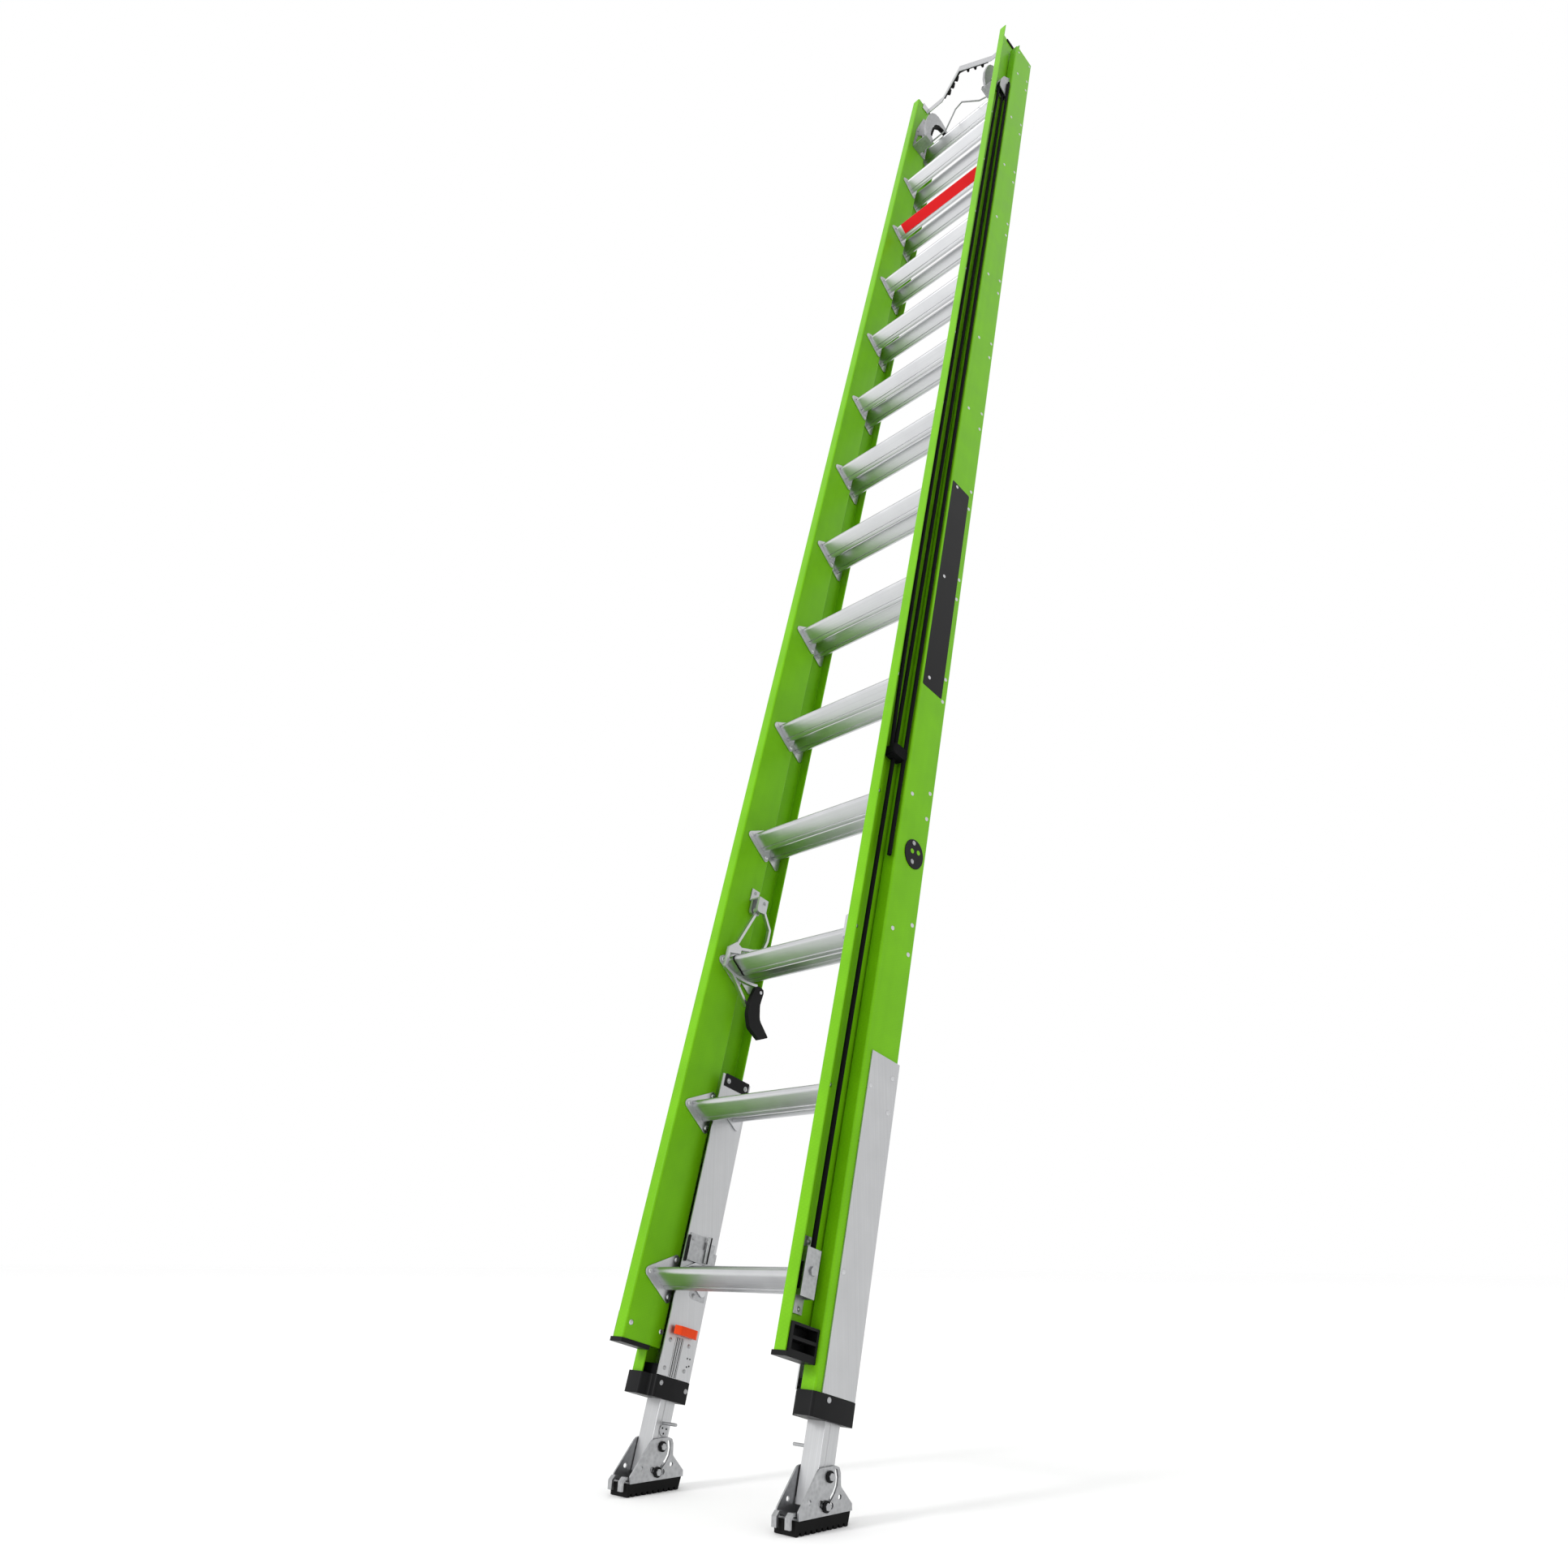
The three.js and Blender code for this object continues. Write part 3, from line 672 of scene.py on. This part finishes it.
def make_foot_bolts(name, body, side):
    bolts, bushings = bmesh.new(), bmesh.new()
    for place in FOOT_BOLTS:
        centre = leant(place)
        add_prism(bolts, circle(centre, BOLT_RADIUS), *span(side, SHOE_INNER - 2, SHOE_OUTER + 2), across)
        for face, out in ((SHOE_INNER - GAP, -1), (SHOE_OUTER + GAP, 1)):
            head = face + out * BUSHING["thick"]
            top = head + out * BOLT_HEAD["thick"]
            add_prism(bushings, circle(centre, BUSHING["radius"], 28), *span(side, face, head), across)
            add_prism(bolts, circle(centre, BOLT_HEAD["radius"], 6), *span(side, head, top), across)
    finish_piece(f"{name}_bolts", bolts, body, "steel", bevel=0.0006)
    finish_piece(f"{name}_bushings", bushings, body, "plastic", bevel=0.0006)


def make_leg_disc(name, body, side):
    """The pin that sticks out of the leg, and the disc with three holes below it."""
    face = LEG["inner"] - 1.7
    pin_end = LEG["inner"] + 1.4
    centre = LEG_DISC["place"]
    fittings, holes = bmesh.new(), bmesh.new()
    pin = circle(LEG_PIN["place"], LEG_PIN["radius"])
    add_prism(fittings, pin, *span(side, LEG_PIN["end"], pin_end), across)
    disc = circle(centre, LEG_DISC["radius"], 28)
    add_prism(fittings, disc, *span(side, face, LEG["inner"] + 0.4), across)
    finish_piece(f"{name}_pin", fittings, body, "steel", bevel=0.0004)
    # The three holes are thin black discs on the disc's face: painted shade in the holes.
    for turn in (0.5, 2.6, 4.7):
        place = (centre[0] + 5 * math.cos(turn), centre[1] + 5 * math.sin(turn))
        add_prism(holes, circle(place, 1.6, 12), *span(side, face - 0.2, face + 0.1), across)
    finish_piece(f"{name}_disc_holes", holes, body, "plastic")


def make_legs():
    for label, side in SIDES:
        name = f"leveler_leg_{label}"
        body = f"leg_{label}"
        make_leg_tube(name, body, side)
        make_foot_bolts(name, body, side)
        make_leg_disc(name, body, side)


def make_collars():
    """The collars under the rail ends, with their outer screws and the black blocks that guide the legs."""
    outer = COLLAR["outer"]
    outline = rounded((
        (outer, -27, 5), (outer, 70, 5), (165, 70, 5), (165, -8, 5), (181, -8, 5), (186, -27, 5),
    ))
    (hole_inner, hole_front), (hole_outer, hole_back) = COLLAR["hole"]
    screws, guides = bmesh.new(), bmesh.new()
    for label, side in SIDES:
        name = f"rail_collar_{label}"
        bm = bmesh.new()
        mirrored = [(side * x, n) for x, n in outline]
        hole = rectangle(side, hole_inner, hole_outer, hole_front, hole_back)
        add_prism(bm, mirrored, COLLAR["low"], COLLAR["high"], up_rail, hole)
        piece = finish_piece(f"{name}_moulding", bm, "base", "plastic", smooth=True)
        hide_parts(name)
        add_dome(screws, (side * (outer - 0.1), 8, -179), (side, 0, 0), 4.4, 1.8, sides=20)
        add_prism(guides, rectangle(side, 169, 215, -4, 8), -172, -155, up_rail)
    finish_piece("collar_screws", screws, "base", "steel", smooth=True)
    finish_piece("leg_guides", guides, "base", "plastic", bevel=0.0006)


def add_to_sleeve(bm, outline, side, proud):
    """Adds to bm a flat piece that stands proud of a sleeve's inner face."""
    add_prism(bm, outline, *span(side, SLEEVE_INNER - proud, SLEEVE_INNER), across)


def upright_bar(front, back, low, high):
    return [(front, low), (back, low), (back, high), (front, high)]


def make_sleeve_ribs():
    """Ribs below the release button, with black strips of painted shade in the grooves between them and black
    discs of painted shade for small holes.
    """
    ribs, dark = bmesh.new(), bmesh.new()
    top = -108
    for _, side in SIDES:
        for n in (16, 21, 27, 33):
            add_to_sleeve(ribs, upright_bar(n, n + 2, SLEEVE_LOW, top), side, 0.8)
        # Thin black strips between the ribs: painted shade of the grooves.
        for n in (18.4, 23.5, 29.5):
            add_to_sleeve(dark, upright_bar(n, n + 1.6, SLEEVE_LOW, top), side, 0.2)
        # Thin black discs: painted shade of small holes.
        for centre in ((51, -136), (57, -136), (53, -149), (58, -147)):
            add_to_sleeve(dark, circle(centre, 1.5, 12), side, 0.2)
    return ribs, dark


def make_sleeve_fittings():
    """The ribs, the folded bracket above and below the bottom rung's end, and black pieces of painted shadow
    beside the bracket and its rod.
    """
    ribs, dark = make_sleeve_ribs()
    zinc, screws = bmesh.new(), bmesh.new()
    upper = [(-2, 42), (60, 42), (60, 56), (34, 56), (34, 64), (-2, 64)]
    tab = [(16, -18), (62, -18), (62, -43), (32, -43), (24, -38), (24, -28), (16, -26)]
    rod_n, rod_low, rod_high = 38, 20, 66
    for _, side in SIDES:
        add_to_sleeve(zinc, upper, side, 2)
        add_to_sleeve(zinc, upright_bar(-2, 66, 17, 41.5), side, 4.5)
        add_to_sleeve(zinc, tab, side, 0.25)
        # A black bar of painted shadow beside the bracket.
        add_to_sleeve(dark, upright_bar(-6, -2, 14, 59), side, 3)
        rod_x = side * (SLEEVE_INNER - 7)
        add_tube(zinc, [(rod_x, rod_n, rod_low), (rod_x, rod_n, rod_high)], 2.2)
        # A thin black rod of painted shadow beside the zinc rod.
        add_tube(dark, [(rod_x, rod_n + 6, rod_low), (rod_x, rod_n + 6, rod_high)], 1.4)
        for n, r in ((4.3, 54), (7.4, 28), (35, -36)):
            add_screw(screws, (side * (SLEEVE_INNER - 1), n, r), (-side, 0, 0), 2.6)
    finish_piece("sleeve_ribs", ribs, "base", "aluminium", "leg", bevel=0.0003)
    finish_piece("sleeve_brackets", zinc, "base", "steel", bevel=0.0004)
    finish_piece("sleeve_shadows", dark, "base", "plastic")
    finish_piece("sleeve_bracket_screws", screws, "base", "steel", smooth=True)


# The inner edge of a cable hook, from its shank to its tip.
HOOK_MOUTH = ((-41, 3925), (-40, 3945), (-36, 3985), (-26, 4012), (-11, 4031), (10, 4039), (31, 4040))
HOOK_RING = (-30, 3938)


def make_top_details():
    """Black end strips on the fly's webs, the rings beside the hooks and the linings of the hooks."""
    strips, rings = bmesh.new(), bmesh.new()
    end_strip = upright_bar(-46, -6, 4176, 4190)
    lining_thick = 7
    for label, side in SIDES:
        add_prism(strips, end_strip, *span(side, FLY_WEB - 0.4, FLY_WEB + WALL + 3), across)
        hole = circle(HOOK_RING, 9, 28)
        add_prism(rings, circle(HOOK_RING, 13, 28), *span(side, FLY_WEB - 5, FLY_WEB), across, hole)
        lining = bmesh.new()
        away = [(n + lining_thick, r - lining_thick) for n, r in reversed(HOOK_MOUTH)]
        add_prism(lining, [*HOOK_MOUTH, *away], *span(side, 123.5, 136.5), across)
        finish_piece(f"hook_lining_{label}", lining, f"hook_{label}", "rubber", bevel=0.0008)
    finish_piece("web_end_strips", strips, "fly", "rubber", bevel=0.0008)
    finish_piece("bracket_rings", rings, "fly", "plastic", bevel=0.0008)


def make_anchor_block():
    """The black block inside the rope anchor's window."""
    bm = bmesh.new()
    add_prism(bm, upright_bar(-70.3, -60, -44, 0), FLY_WEB + WALL + 3.5, 205.3, across)
    finish_piece("anchor_block", bm, "fly", "plastic", bevel=0.0008)


def make_top_screws():
    """Screws of the rope anchor, the hook brackets and the lock brackets."""
    screws = bmesh.new()
    for r in (-68, 31):
        add_screw(screws, (FLY_WEB + WALL + 2.8, -54, r), (1, 0, 0), 3)
    bracket_face = FLY_WEB - GAP - PLATE
    lock_height = LOCK_RUNG * PITCH
    for _, side in SIDES:
        for n, r in ((-38, 4085), (-58, 3990), (-8, 3885)):
            add_screw(screws, (side * bracket_face, n, r), (-side, 0, 0), 3.2)
        add_screw(screws, (side * bracket_face, -17, lock_height + 160), (-side, 0, 0), 3)
        add_screw(screws, (side * 151, -10, lock_height + 131), (-side, 0, 0), 3)
    finish_piece("top_screws", screws, "fly", "steel", smooth=True)


# ---- assembling the looks ----

def dress_cad_nodes():
    slots = {part["node"]: part["material_slot"] for part in frame["record"]["subparts"]}
    for name, node in frame["nodes"].items():
        drawn = name.startswith(("leveler", "lock_bracket"))
        material = MATERIALS["leg" if drawn else slots[name]]
        node.data.materials.clear()
        node.data.materials.append(material)
        soften_edges(node, 0.0006)


def make_label():
    """A blank black label on the right base rail, where the real one carries a name."""
    bm = bmesh.new()
    outline = rounded(((-18.4, 1191, 4), (47.5, 1191, 4), (47.5, 1838, 4), (-18.4, 1838, 4)))
    add_prism(bm, outline, BASE_WEB, BASE_WEB + 0.35, across)
    finish_piece("blank_label", bm, "base", "plastic", "label")


def make_oval_plate():
    """A black oval plate with two holes that show the rail, on the right base rail."""
    plate, holes, screws = bmesh.new(), bmesh.new(), bmesh.new()
    face = BASE_WEB + 2
    outline = [(28.5 + 0.88 * n, 786.5 + r) for n, r in circle((0, 0), 31.5, 40)]
    add_prism(plate, outline, BASE_WEB, face, across)
    finish_piece("oval_plate", plate, "base", "plastic", bevel=0.0008)
    for centre in ((21.4, 790), (39.6, 795)):
        add_prism(holes, circle(centre, 5), face - 0.1, face + 0.15, across)
    finish_piece("oval_plate_holes", holes, "base", "fibreglass")
    for n, r in ((23.6, 809.5), (25.6, 768.3)):
        add_screw(screws, (face, n, r), (1, 0, 0), 3.2)
    finish_piece("oval_plate_screws", screws, "base", "steel", smooth=True)


def make_sleeve_strips():
    """Black strips across the tops of the leg sleeves."""
    bm = bmesh.new()
    outline = rounded(((-1.5, 343, 2), (63, 343, 2), (63, 368, 2), (-1.5, 368, 2)), 3)
    for _, side in SIDES:
        add_prism(bm, outline, *span(side, SLEEVE_INNER - 1, SLEEVE_INNER - 0.02), across)
    finish_piece("sleeve_strips", bm, "base", "plastic")


def rope_path(points, x, per_span=24):
    """A smooth run of points through a few given ones (n, r), all at one x."""
    knots = [points[0], *points, points[-1]]
    run = []
    for a, b, c, d in zip(knots, knots[1:], knots[2:], knots[3:]):
        a, b, c, d = (Vector(p) for p in (a, b, c, d))
        for i in range(per_span):
            t = i / per_span
            run.append(0.5 * (2 * b + (c - a) * t + (2 * a - 5 * b + 4 * c - d) * t * t
                              + (3 * b - a - 3 * c + d) * t ** 3))
    return [(x, p.x, p.y) for p in run] + [(x, *points[-1])]


def make_rope():
    """The rope from the fly's anchor over the sheave to its clamp, with the loose end beside it."""
    bm = bmesh.new()
    up = [(-53, -20), (-50, 900), (-42, 2400), (-37, 3700)]
    over = arc(SHEAVE, 12.3, 0, math.pi, 8)
    down = [(-61, 3700), (-64, 3300), (-69, 1500), (-60, 985)]
    loose = [(-33, 754), (-31.5, 1500), (-30.5, 2400), (-30.5, 3850)]
    clamp = rounded(((-68, 976, 5), (-29, 976, 5), (-29, 1002, 5), (-68, 1002, 5)))
    add_tube(bm, rope_path([*up, *over, *down], ROPE_X, 10), ROPE_RADIUS)
    add_tube(bm, rope_path(loose, TAIL_X), ROPE_RADIUS)
    add_prism(bm, clamp, ROPE_X - 6, TAIL_X + 4, across)
    piece = finish_piece("braided_hoist_rope", bm, "base", "rope", smooth=True)
    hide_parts("hoist_rope")
    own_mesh(piece)


make_camera()
make_studio()
dress_cad_nodes()
make_rails()
make_rungs()
make_sticker()
make_ring_gaskets()
make_legs()
make_collars()
make_sleeve_fittings()
make_top_details()
make_anchor_block()
make_top_screws()
make_rivets()
make_screws()
make_label()
make_oval_plate()
make_sleeve_strips()
make_rope()
